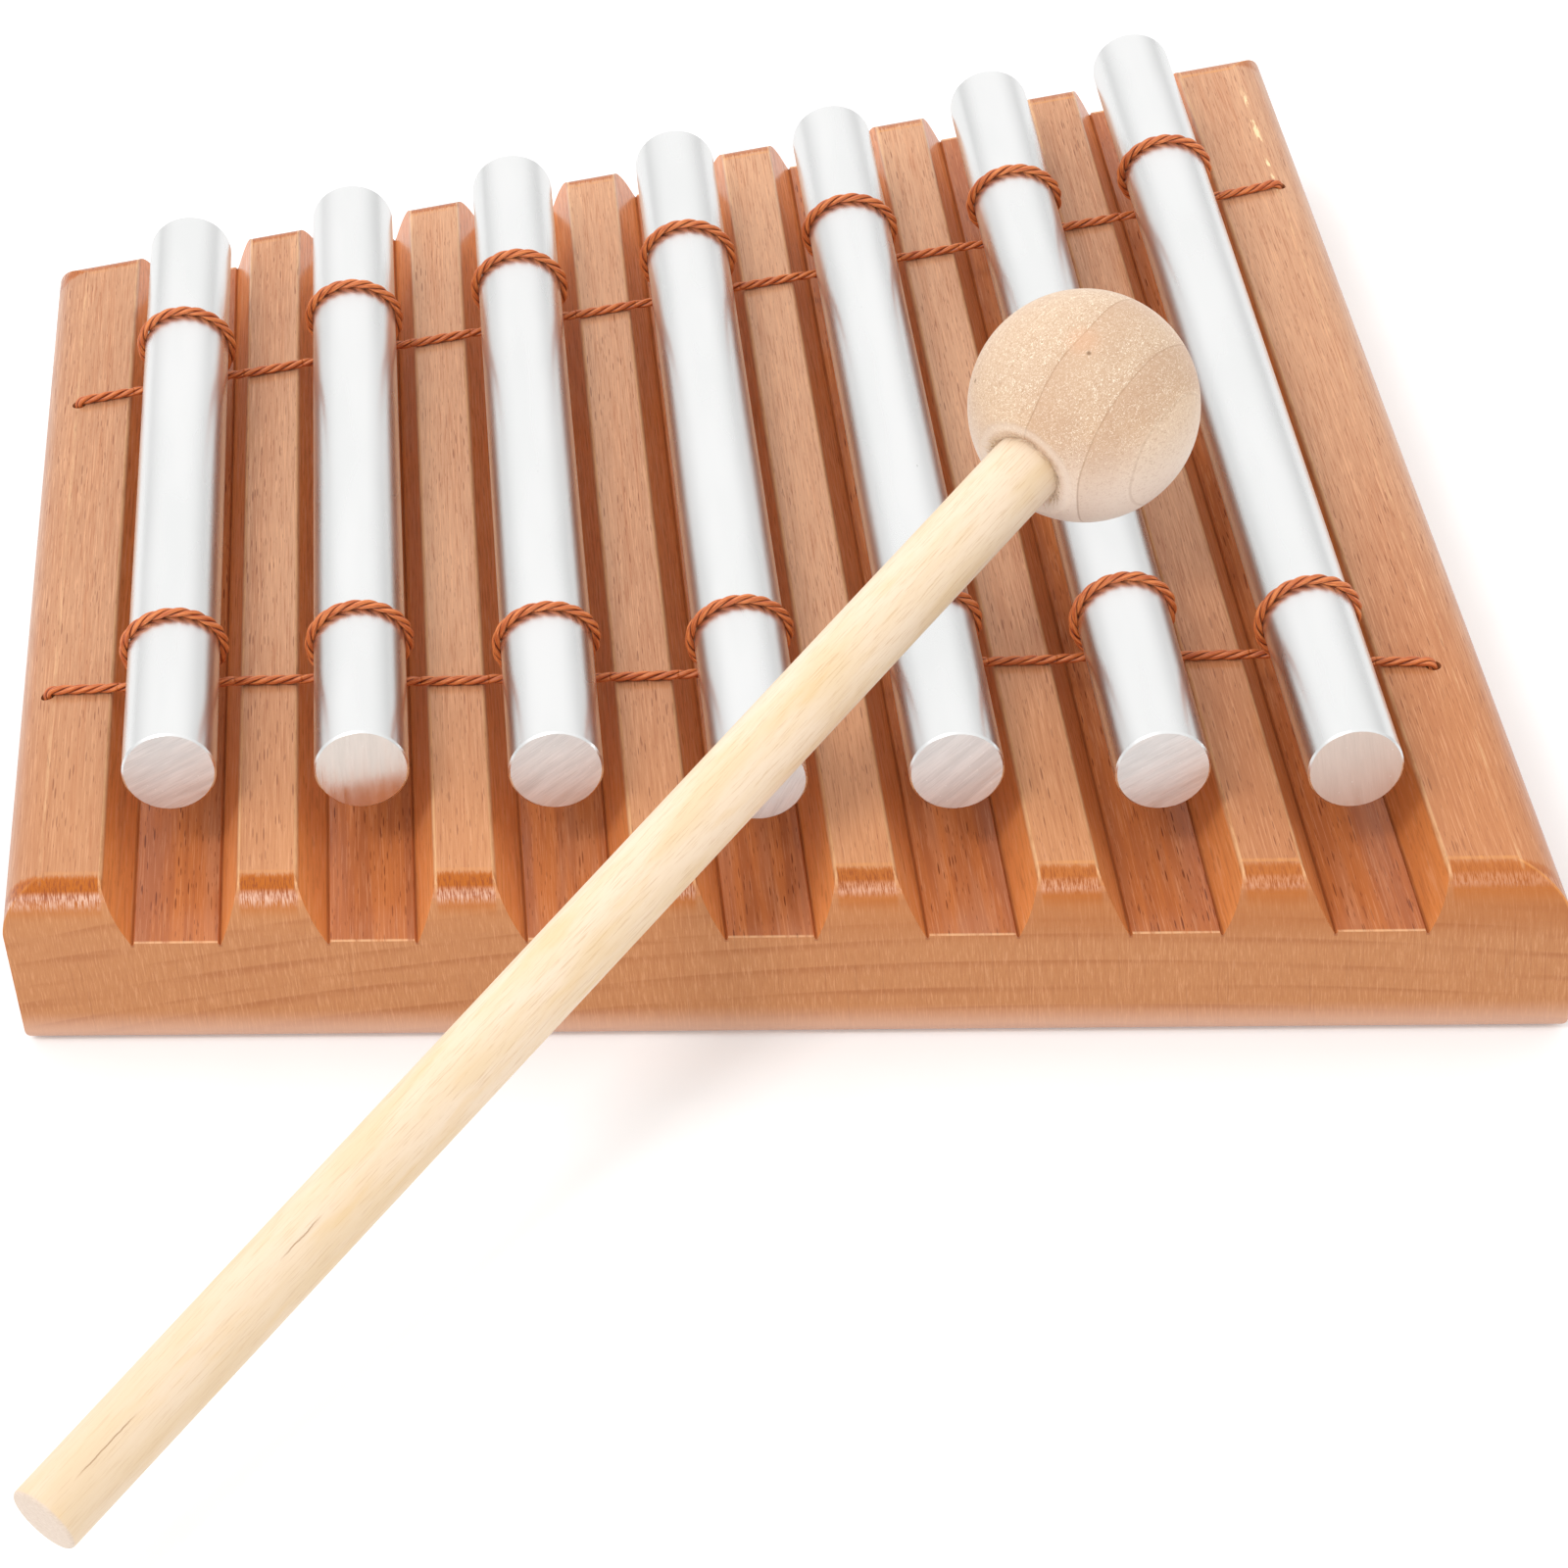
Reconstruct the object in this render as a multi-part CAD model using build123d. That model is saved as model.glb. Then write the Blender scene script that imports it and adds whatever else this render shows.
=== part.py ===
from build123d import *
import math
import os

# Seven-rod table chime: tuned solid metal rods lie on two cords that are laced over a
# grooved hardwood board, and a wooden ball mallet rests across the row.
#
# Frame, in millimetres: origin on the board's underside, at the middle of its width and
# depth. +Z is up, +Y points away from the player along the rods, +X points to the long,
# low-pitched rod.

# Board
BOARD_WIDTH = 193.2
BOARD_DEPTH_LEFT = 158.4      # front to back at the high-pitched end
BOARD_DEPTH_RIGHT = 217.6     # front to back at the low-pitched end
BOARD_THICKNESS = 23.1
TOP_ROUND = 5.6               # round-over of the four top edges
BOTTOM_ROUND = 2.0            # round-over of the four bottom edges

# Grooves, one under each rod, with sloping walls
GROOVE_PITCH = 24.77
GROOVE_TOP_WIDTH = 17.5
GROOVE_FLOOR_WIDTH = 11.6
GROOVE_DEPTH = 6.8
KERF_WIDTH = 0.5              # fine saw line at each foot of the walls
KERF_DEPTH = 0.4
EDGE_EASE = 0.45              # the grooves' upper edges are sanded to this radius
ROW_SHIFT = -0.6              # the row of grooves sits this far off the board's middle

# Rods, from the high one at the left to the low one at the right
SEMITONES_ABOVE_LOWEST = (11, 9, 7, 5, 4, 2, 0)
LONGEST_ROD = 182.7
LENGTH_PER_SEMITONE = 1.0311
ROD_DIAMETER = 12.0
ROD_CHAMFER = 0.25
# How far each rod lies from the middle of its groove (x) and of the board (y)
ROD_DRIFT = ((0.9, -0.6), (0.6, -0.2), (0.3, -0.3), (0.7, -2.4), (0.4, -2.1), (0.8, -1.3),
             (-0.6, 0.4))

# Cords
CORD_DIAMETER = 1.3
CORD_OVER_BOARD = 0.03        # air between a cord and the wood under it
LOOP_CLEARANCE = 0.2          # air between a loop and its rod
SLING_HALF_WIDTH = 7.9        # the stretch of cord that gives when its rod is struck
SLING_GAP = 0.1               # air between that stretch and the still part of the cord
LOOP_LEAN = 1.5               # the two passes of a loop lie this far apart under the rod
LOOP_SIDES = 8
LOOP_ARC_RATIO = 0.9          # fillet radius of the loop's polygon, in loop radii

# Cord holes (x, y) and the hidden knots
CORD_HOLES = {"back": {"left": (-91.0, 36.5), "right": (91.6, 63.9)},
              "front": {"left": (-92.1, -35.6), "right": (89.1, -61.6)}}
HOLE_DIAMETER = 2.0
HOLE_BEND_RADIUS = 1.4
KNOT_POCKET_DIAMETER = 4.8
KNOT_POCKET_DEPTH = 5.0
KNOT_DIAMETER = 3.8
KNOT_HEIGHT = 3.2
KNOT_ROOM = 0.6               # air between a knot and the roof of its pocket

# Mallet, resting with its ball on one rod and its handle on the end of another
BALL_DIAMETER = 30.4
BALL_ROD = 5                  # index of the rod under the ball
BALL_ROD_OFFSET = -1.97       # ball's centre from that rod's axis, in x
BALL_Y = -35.8
BALL_REST_GAP = 0.05
HANDLE_DIAMETER_HEAD = 9.6
HANDLE_DIAMETER_END = 8.8
HANDLE_REACH = 199.7         # from the ball's centre to the handle's free end
HANDLE_SOCKET_DEPTH = 14.0
HANDLE_HEADING = -133.26      # degrees from +X, seen from above
HANDLE_TILT = -10.18          # degrees from level
HANDLE_END_ROUND = 0.6

OVERSHOOT = 60.0              # how far construction shapes run past the board
TOUCH = 0.001                 # two heights closer than this are the same

rod_radius = ROD_DIAMETER / 2
cord_radius = CORD_DIAMETER / 2
loop_radius = rod_radius + LOOP_CLEARANCE + cord_radius
cord_height = BOARD_THICKNESS + CORD_OVER_BOARD + cord_radius
rod_height = cord_height + loop_radius
rod_count = len(SEMITONES_ABOVE_LOWEST)
knot_top = KNOT_POCKET_DEPTH - KNOT_ROOM


def groove_x(index):
    return ROW_SHIFT + (index - (rod_count - 1) / 2) * GROOVE_PITCH


def rod_x(index):
    return groove_x(index) + ROD_DRIFT[index][0]


def rod_length(index):
    return LONGEST_ROD / LENGTH_PER_SEMITONE ** SEMITONES_ABOVE_LOWEST[index]


def cord_y(side, x):
    """Centre line of a cord, which runs straight between its two holes."""
    left_x, left_y = CORD_HOLES[side]["left"]
    right_x, right_y = CORD_HOLES[side]["right"]
    return left_y + (right_y - left_y) * (x - left_x) / (right_x - left_x)


def tube(path):
    return sweep((path ^ 0) * Circle(cord_radius), path=path)


def board_blank():
    half_width = BOARD_WIDTH / 2
    left = BOARD_DEPTH_LEFT / 2
    right = BOARD_DEPTH_RIGHT / 2
    outline = Polyline((-half_width, -left), (half_width, -right), (half_width, right),
                       (-half_width, left), close=True)
    blank = extrude(make_face(outline), BOARD_THICKNESS)
    blank = fillet(blank.faces().sort_by(Axis.Z)[-1].edges(), TOP_ROUND)
    return fillet(blank.faces().sort_by(Axis.Z)[0].edges(), BOTTOM_ROUND)


def groove_section(index):
    """Outline across one groove, open above the board, with a kerf at each foot."""
    floor = BOARD_THICKNESS - GROOVE_DEPTH
    half_floor = GROOVE_FLOOR_WIDTH / 2
    half_above = GROOVE_TOP_WIDTH - half_floor
    above = BOARD_THICKNESS + GROOVE_DEPTH
    right_side = [(0, floor), (half_floor - KERF_WIDTH, floor),
                  (half_floor - KERF_WIDTH / 2, floor - KERF_DEPTH), (half_floor, floor),
                  (half_above, above)]
    left_side = [(-x, z) for x, z in reversed(right_side[1:])]
    return Pos(groove_x(index), 0) * make_face(Polyline(*right_side, *left_side, close=True))


def grooved_bar():
    """A bar along Y with the board's grooves, whose edges are eased before it is trimmed."""
    width = BOARD_WIDTH + 2 * OVERSHOOT
    section = Rectangle(width, BOARD_THICKNESS + OVERSHOOT, align=(Align.CENTER, Align.MAX))
    section = Pos(0, BOARD_THICKNESS) * section
    for index in range(rod_count):
        section -= groove_section(index)
    row_end = BOARD_WIDTH / 2
    lips = [corner for corner in section.vertices()
            if abs(corner.Y - BOARD_THICKNESS) < TOUCH and abs(corner.X) < row_end]
    length = BOARD_DEPTH_RIGHT + OVERSHOOT
    return Pos(0, length / 2, 0) * extrude(Plane.XZ * fillet(lips, EDGE_EASE), length)


def base_board():
    board = board_blank() & grooved_bar()
    for holes in CORD_HOLES.values():
        for x, y in holes.values():
            board -= Pos(x, y, 0) * Cylinder(HOLE_DIAMETER / 2, 3 * BOARD_THICKNESS)
            board -= Pos(x, y, 0) * Cylinder(KNOT_POCKET_DIAMETER / 2, 2 * KNOT_POCKET_DEPTH)
    return board


def chime_rod(index):
    rod = Cylinder(rod_radius, rod_length(index))
    rod = chamfer(rod.edges().filter_by(GeomType.CIRCLE), ROD_CHAMFER)
    return Pos(rod_x(index), ROD_DRIFT[index][1], rod_height) * Rot(90, 0, 0) * rod


def sling(side, index):
    """The stretch of cord over one groove: under the rod, once round it and on."""
    centre = rod_x(index)
    left = groove_x(index) - SLING_HALF_WIDTH
    right = groove_x(index) + SLING_HALF_WIDTH
    middle_y = cord_y(side, centre)
    turn = 2 * math.pi / LOOP_SIDES
    corner_radius = loop_radius / math.cos(turn / 2)
    advance = math.copysign(LOOP_LEAN / LOOP_SIDES, cord_y(side, right) - cord_y(side, left))
    points = [(left, cord_y(side, left), cord_height)]
    for corner in range(LOOP_SIDES):
        angle = turn * (corner + 0.5) - math.pi / 2
        points.append((centre + corner_radius * math.cos(angle),
                       middle_y + advance * (corner + 0.5 - LOOP_SIDES / 2),
                       rod_height + corner_radius * math.sin(angle)))
    points.append((right, cord_y(side, right), cord_height))
    return tube(FilletPolyline(*points, radius=LOOP_ARC_RATIO * loop_radius))


def ridge_span(side, index):
    """The straight stretch over the ridge between two neighbouring grooves."""
    start = groove_x(index) + SLING_HALF_WIDTH + SLING_GAP
    stop = groove_x(index + 1) - SLING_HALF_WIDTH - SLING_GAP
    return tube(Polyline((start, cord_y(side, start), cord_height),
                         (stop, cord_y(side, stop), cord_height)))


def end_span(side, end, start):
    """The stretch from the outermost groove over the margin and down its hole."""
    x, y = CORD_HOLES[side][end]
    path = FilletPolyline((start, cord_y(side, start), cord_height), (x, y, cord_height),
                          (x, y, knot_top), radius=HOLE_BEND_RADIUS)
    return tube(path)


def cord_runs(side):
    reach = SLING_HALF_WIDTH + SLING_GAP
    spans = [end_span(side, "left", groove_x(0) - reach)]
    spans += [ridge_span(side, index) for index in range(rod_count - 1)]
    spans.append(end_span(side, "right", groove_x(rod_count - 1) + reach))
    return Compound(children=spans)


def knot(side, end):
    x, y = CORD_HOLES[side][end]
    ball = Sphere(KNOT_DIAMETER / 2)
    flat = scale(ball, by=(1, 1, KNOT_HEIGHT / KNOT_DIAMETER))
    return Pos(x, y, knot_top - KNOT_HEIGHT / 2) * flat


def mallet_place():
    """The ball's centre, with local +X along the handle towards its free end."""
    reach = BALL_DIAMETER / 2 + rod_radius + BALL_REST_GAP
    x = rod_x(BALL_ROD) + BALL_ROD_OFFSET
    z = rod_height + math.sqrt(reach ** 2 - BALL_ROD_OFFSET ** 2)
    return Pos(x, BALL_Y, z) * Rot(0, 0, HANDLE_HEADING) * Rot(0, -HANDLE_TILT, 0)


def mallet_handle():
    start = BALL_DIAMETER / 2 - HANDLE_SOCKET_DEPTH
    length = HANDLE_REACH - start
    stick = Cone(HANDLE_DIAMETER_HEAD / 2, HANDLE_DIAMETER_END / 2, length,
                 align=(Align.CENTER, Align.CENTER, Align.MIN))
    stick = fillet(stick.edges().filter_by(GeomType.CIRCLE).sort_by(Axis.Z)[-1], HANDLE_END_ROUND)
    return mallet_place() * Pos(start, 0, 0) * Rot(0, 90, 0) * stick


def mallet_head():
    """The ball, with a blind socket that the handle fills. Its seam faces away from the socket."""
    ball = mallet_place() * Rot(0, 0, 180) * Sphere(BALL_DIAMETER / 2)
    return ball - mallet_handle()


parts = {"base_board": base_board()}
for number in range(1, rod_count + 1):
    parts[f"chime_rod_{number}"] = chime_rod(number - 1)
for side, ends in CORD_HOLES.items():
    parts[f"{side}_cord_runs"] = cord_runs(side)
    for number in range(1, rod_count + 1):
        parts[f"{side}_cord_sling_{number}"] = sling(side, number - 1)
    for end in ends:
        parts[f"{side}_{end}_knot"] = knot(side, end)
parts["mallet_head"] = mallet_head()
parts["mallet_handle"] = mallet_handle()

os.makedirs("parts", exist_ok=True)
for name, shape in parts.items():
    export_step(shape, f"parts/{name}.step")
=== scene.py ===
import math

import bpy
import numpy as np
from mathutils import Euler, Matrix, Quaternion, Vector, noise


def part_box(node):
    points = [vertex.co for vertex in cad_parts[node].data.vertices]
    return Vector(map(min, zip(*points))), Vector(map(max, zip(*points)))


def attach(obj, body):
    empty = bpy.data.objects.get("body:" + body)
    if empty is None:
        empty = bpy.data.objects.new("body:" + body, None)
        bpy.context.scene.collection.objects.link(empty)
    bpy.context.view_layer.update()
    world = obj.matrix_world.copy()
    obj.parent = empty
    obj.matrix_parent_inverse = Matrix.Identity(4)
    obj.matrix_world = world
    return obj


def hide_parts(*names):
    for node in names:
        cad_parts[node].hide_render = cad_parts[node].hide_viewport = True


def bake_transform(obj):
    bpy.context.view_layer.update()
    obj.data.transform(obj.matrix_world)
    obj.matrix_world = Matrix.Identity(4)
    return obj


# The looks of a seven-rod table chime: lacquered hardwood board, satin metal rods, waxed
# three-strand cord and a turned wooden mallet. Lengths here are millimetres, in the
# frame's own axes; MM turns them into Blender's metres.

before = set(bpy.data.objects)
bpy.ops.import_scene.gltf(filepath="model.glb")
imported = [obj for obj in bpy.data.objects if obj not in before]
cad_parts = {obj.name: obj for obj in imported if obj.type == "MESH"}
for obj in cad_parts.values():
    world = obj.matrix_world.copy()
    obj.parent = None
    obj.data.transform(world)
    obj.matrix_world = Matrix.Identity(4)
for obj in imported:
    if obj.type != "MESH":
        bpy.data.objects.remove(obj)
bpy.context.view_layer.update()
MM = 0.001

# Board, as the frame holds it
GROOVE_PITCH = 24.77
ROW_SHIFT = -0.6
GROOVE_TOP_WIDTH = 17.5
GROOVE_FLOOR_WIDTH = 11.6
GROOVE_DEPTH = 6.8
KERF_WIDTH = 0.5
TOP_ROUND = 5.6
BOARD_DEPTH_LEFT = 158.4
BOARD_DEPTH_RIGHT = 217.6

# Cords
CORD_DIAMETER = 1.3
CORD_OVER_BOARD = 0.03
LOOP_CLEARANCE = -0.12        # the cord flattens this much against its rod
LOOP_LEAN = 1.5
LOOP_SIDES = 8
# How far each stretch over the board, and each loop's top, stands from the straight line between
# the cord's holes, along Y
RUN_SHIFT = {"back": (-0.2, -0.9, -1.0, -1.4, -1.9, -2.0, -1.7, -1.0),
             "front": (0.3, 1.4, 0.4, 0.5, 1.2, 2.2, 2.5, 0.3)}
LOOP_SHIFT = {"back": (-2.7, -3.6, -3.4, -3.7, -4.7, -4.9, -4.2),
              "front": (-1.7, -0.8, -2.1, -1.6, -0.4, 1.7, 0.0)}
SLING_HALF_WIDTH = 7.9
BLEND_END = 2.0               # the give of a sling is complete this far from its rod's axis
STRANDS = 3
STRAND_OFFSET = 0.325         # from the cord's centre line to a strand's
STRAND_RADIUS = 0.335
STRAND_LAY = 6.6              # length of one full twist, left-handed
STRAND_SIDES = 10
STEP = 0.26                   # distance between a strand's rings
STRAND_SLIP = 0.10            # by how many radians a strand wanders round the cord
STRAND_UNEVEN = 0.035         # share by which a strand's thickness varies
FIBRE_SCALE = 2.6
FIBRE_TURN = 0.92             # radians by which the fibres turn in a strand, for each millimetre
HOLE_BEND = 2.4               # size of the turn from the board's face into a hole
KNOT_POINTS = 15
KNOT_START = -40              # degrees along the trefoil, where the knot starts
KNOT_SWEEP = 300

# Mallet: local +X runs along the handle from the ball's centre
HANDLE_HEADING = -133.26
HANDLE_TILT = -10.18
HANDLE_REACH = 199.7
HANDLE_DIAMETER_HEAD = 9.6
HANDLE_DIAMETER_END = 8.8
SOCKET_DEPTH = 14.0
SOCKET_RIM = 7.4              # radius at which the ball's curve begins
TURNED_WEAR = 0.10            # how deep the turned surfaces are worn
FIBRES = 170                  # torn fibres round the socket

# Camera
CAMERA_PLACE = (-12.62, -502.5, 355.41)
CAMERA_AIM = (3.55, -67.95, 20.0)
CAMERA_ROLL = -4.783
LENS = 98.18
SENSOR = 36.0

# Light
WORLD_BRIGHT = 1.12           # overhead, ahead and behind
WORLD_DIM = 0.68              # low at the two sides
KEY_LEAN = 4.0                # degrees by which the brightest part leans to the left
WORLD_FADE = (-0.25, 0.9)     # sines of the heights between which it brightens
# Softboxes: name, place, size, brightness, and if gloss mirrors them
SOFTBOXES = (("softbox_back", (-260, 820, 760), (900, 500), 2.0, False),
             ("softbox_front", (-430, -520, 950), (340, 260), 12.8, True))
FLOOR_DROP = 0.2
FLOOR_REACH = 20000
FLOOR_GLOW = 0.15

rod_count = len([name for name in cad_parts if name.startswith("chime_rod_")])


def middle(node):
    low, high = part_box(node)
    return (low + high) / 2 / MM


board_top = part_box("base_board")[1].z / MM
half_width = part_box("base_board")[1].x / MM
cord_height = board_top + CORD_OVER_BOARD + CORD_DIAMETER / 2


def groove_x(index):
    return ROW_SHIFT + (index - (rod_count - 1) / 2) * GROOVE_PITCH


# ---------------------------------------------------------------- camera, floor and light

camera = bpy.data.objects.new("camera", bpy.data.cameras.new("camera"))
bpy.context.scene.collection.objects.link(camera)
camera.data.lens = LENS
camera.data.sensor_width = SENSOR
camera.data.clip_start = 0.01
camera.data.clip_end = 100
camera.location = Vector(CAMERA_PLACE) * MM
aim = (Vector(CAMERA_AIM) - Vector(CAMERA_PLACE)).to_track_quat("-Z", "Y")
camera.rotation_mode = "QUATERNION"
camera.rotation_quaternion = aim @ Quaternion((0, 0, 1), math.radians(CAMERA_ROLL))
bpy.context.scene.camera = camera
bpy.context.scene.view_settings.view_transform = "Standard"


def srgb(red, green, blue):
    """A colour given as 8-bit sRGB, as linear RGBA."""
    def linear(value):
        share = value / 255
        return share / 12.92 if share <= 0.04045 else ((share + 0.055) / 1.055) ** 2.4
    return (linear(red), linear(green), linear(blue), 1.0)


finishes = {}                 # this script's own materials, by name


class Shader:
    """A material and short calls for building its nodes."""

    def __init__(self, name):
        self.material = bpy.data.materials.new(name)
        finishes[name] = self.material
        self.material.use_nodes = True
        self.tree = self.material.node_tree
        self.tree.nodes.clear()

    def node(self, kind, inputs=None, **settings):
        made = self.tree.nodes.new(kind)
        for key, value in settings.items():
            setattr(made, key, value)
        for key, value in (inputs or {}).items():
            if isinstance(value, bpy.types.NodeSocket):
                self.tree.links.new(value, made.inputs[key])
            else:
                made.inputs[key].default_value = value
        return made

    def math(self, operation, a, b=0.0, clamp=False):
        made = self.node("ShaderNodeMath", {0: a, 1: b}, operation=operation, use_clamp=clamp)
        return made.outputs[0]

    def add(self, a, b):
        return self.math("ADD", a, b)

    def sub(self, a, b):
        return self.math("SUBTRACT", a, b)

    def mul(self, a, b):
        return self.math("MULTIPLY", a, b)

    def absolute(self, a):
        return self.math("ABSOLUTE", a)

    def invert(self, a):
        return self.math("SUBTRACT", 1.0, a, clamp=True)

    def ramp(self, value, low, high, to_low=0.0, to_high=1.0):
        """A smooth step of value from low to high."""
        made = self.node("ShaderNodeMapRange", {0: value, 1: low, 2: high, 3: to_low, 4: to_high},
                         interpolation_type="SMOOTHSTEP")
        return made.outputs[0]

    def line(self, value, low, high, to_low=0.0, to_high=1.0):
        made = self.node("ShaderNodeMapRange", {0: value, 1: low, 2: high, 3: to_low, 4: to_high})
        return made.outputs[0]

    def band(self, value, centre, half, soft):
        """1 where value is within half of centre, fading over soft."""
        return self.ramp(self.absolute(self.sub(value, centre)), half, half + soft, 1.0, 0.0)

    def split(self, vector):
        made = self.node("ShaderNodeSeparateXYZ", {0: vector})
        return made.outputs[0], made.outputs[1], made.outputs[2]

    def join(self, x, y, z):
        return self.node("ShaderNodeCombineXYZ", {0: x, 1: y, 2: z}).outputs[0]

    def stretch(self, vector, x, y, z):
        """The vector with each axis divided by the length given for it."""
        made = self.node("ShaderNodeVectorMath", {0: vector, 1: (1 / x, 1 / y, 1 / z)},
                         operation="MULTIPLY")
        return made.outputs[0]

    def offset(self, vector, by):
        made = self.node("ShaderNodeVectorMath", {0: vector, 1: by}, operation="ADD")
        return made.outputs[0]

    def length(self, vector):
        return self.node("ShaderNodeVectorMath", {0: vector}, operation="LENGTH").outputs["Value"]

    def distance(self, vector, point):
        made = self.node("ShaderNodeVectorMath", {0: vector, 1: point}, operation="DISTANCE")
        return made.outputs["Value"]

    def noise(self, vector, detail=2.0, roughness=0.5, distortion=0.0):
        made = self.node("ShaderNodeTexNoise", {"Vector": vector, "Scale": 1.0, "Detail": detail,
                                                "Roughness": roughness, "Distortion": distortion})
        return made.outputs[0]

    def cells(self, vector):
        """Distance to the nearest cell's point, and that cell's random number."""
        made = self.node("ShaderNodeTexVoronoi", {"Vector": vector, "Scale": 1.0,
                                                  "Randomness": 1.0})
        return made.outputs["Distance"], self.split(made.outputs["Color"])[0]

    def mix(self, factor, a, b):
        return self.node("ShaderNodeMix", {0: factor, 6: a, 7: b}, data_type="RGBA").outputs[2]

    def tint(self, colour, mask, amount, to):
        """The colour, moved towards another by amount where mask is 1."""
        return self.mix(self.mul(mask, amount), colour, to)

    def place(self):
        """The point in the frame at rest, in millimetres."""
        coordinates = self.node("ShaderNodeTexCoord").outputs["Object"]
        made = self.node("ShaderNodeVectorMath", {0: coordinates, 3: 1 / MM}, operation="SCALE")
        return made.outputs[0]

    def normal(self):
        return self.node("ShaderNodeNewGeometry").outputs["True Normal"]

    def attribute(self, name, output):
        made = self.node("ShaderNodeAttribute", attribute_name=name)
        return made.outputs[output]

    def bump(self, height, depth, strength=1.0, under=None):
        """Relief of depth millimetres for a height that runs from 0 to 1."""
        inputs = {"Strength": strength, "Distance": depth * MM, "Height": height}
        if under is not None:
            inputs["Normal"] = under
        return self.node("ShaderNodeBump", inputs).outputs[0]

    def finish(self, **inputs):
        """The shader itself. Names are Principled BSDF's, with _ for a space."""
        named = {key.replace("_", " "): value for key, value in inputs.items()}
        surface = self.node("ShaderNodeBsdfPrincipled", named)
        output = self.node("ShaderNodeOutputMaterial")
        self.tree.links.new(surface.outputs[0], output.inputs[0])
        return self.material


def link_mesh(name, vertices, faces, smooth=True):
    """A mesh object from points in millimetres in the frame."""
    mesh = bpy.data.meshes.new(name)
    mesh.from_pydata((np.asarray(vertices, float) * MM).tolist(), [], faces)
    mesh.polygons.foreach_set("use_smooth", [smooth] * len(mesh.polygons))
    mesh.update()
    made = bpy.data.objects.new(name, mesh)
    bpy.context.scene.collection.objects.link(made)
    return made


def stage_light(name, place, size, brightness, mirrored):
    """A softbox aimed at the object, as bright as brightness; mirrored says if gloss shows it."""
    light = bpy.data.lights.new(name, "AREA")
    light.shape = "RECTANGLE"
    light.size = size[0] * MM
    light.size_y = size[1] * MM
    light.energy = brightness * math.pi * light.size * light.size_y
    made = bpy.data.objects.new(name, light)
    made.location = Vector(place) * MM
    made.rotation_euler = (-Vector(place)).to_track_quat("-Z", "Y").to_euler()
    made.visible_glossy = mirrored
    bpy.context.scene.collection.objects.link(made)


def studio_world():
    """An even white tent, greyer low at the two sides."""
    world = bpy.data.worlds.new("studio")
    world.use_nodes = True
    nodes, links = world.node_tree.nodes, world.node_tree.links
    sight = nodes.new("ShaderNodeTexCoord")
    flat = nodes.new("ShaderNodeVectorMath")
    flat.operation = "MULTIPLY"
    flat.inputs[1].default_value = (1.0, 0.0, 1.0)
    links.new(sight.outputs["Generated"], flat.inputs[0])
    unit_sight = nodes.new("ShaderNodeVectorMath")
    unit_sight.operation = "NORMALIZE"
    links.new(flat.outputs[0], unit_sight.inputs[0])
    height = nodes.new("ShaderNodeVectorMath")
    height.operation = "DOT_PRODUCT"
    lean = math.radians(KEY_LEAN)
    height.inputs[1].default_value = (-math.sin(lean), 0.0, math.cos(lean))
    links.new(unit_sight.outputs[0], height.inputs[0])
    fall = nodes.new("ShaderNodeMapRange")
    fall.interpolation_type = "SMOOTHSTEP"
    links.new(height.outputs["Value"], fall.inputs[0])
    for number, value in enumerate((*WORLD_FADE, WORLD_DIM, WORLD_BRIGHT), 1):
        fall.inputs[number].default_value = value
    links.new(fall.outputs[0], nodes["Background"].inputs["Strength"])
    nodes["Background"].inputs["Color"].default_value = (1.0, 1.0, 1.0, 1.0)
    bpy.context.scene.world = world


def studio():
    studio_world()
    for softbox in SOFTBOXES:
        stage_light(*softbox)

    floor = Shader("floor")
    grain = floor.noise(floor.stretch(floor.place(), 9, 9, 9), detail=3)
    colour = floor.mix(grain, (0.80, 0.80, 0.80, 1), (0.83, 0.83, 0.83, 1))
    mirrored = floor.node("ShaderNodeLightPath").outputs["Is Glossy Ray"]
    colour = floor.mix(mirrored, colour, (0.66, 0.66, 0.66, 1))
    surface = floor.node("ShaderNodeBsdfPrincipled", {
        "Base Color": colour, "Roughness": 0.9, "Specular IOR Level": 0.0,
        "Emission Color": (1, 1, 1, 1), "Emission Strength": FLOOR_GLOW})
    under = floor.node("ShaderNodeBsdfTransparent")
    facing = floor.node("ShaderNodeNewGeometry").outputs["Backfacing"]
    both = floor.node("ShaderNodeMixShader", {0: facing, 1: surface.outputs[0],
                                              2: under.outputs[0]})
    floor.node("ShaderNodeOutputMaterial", {0: both.outputs[0]})
    corners = [(x * FLOOR_REACH, y * FLOOR_REACH, -FLOOR_DROP)
               for x, y in ((-1, -1), (1, -1), (1, 1), (-1, 1))]
    made = link_mesh("floor", corners, [(0, 1, 2, 3)], smooth=False)
    made.data.materials.append(floor.material)


# ---------------------------------------------------------------------------- materials

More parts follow.
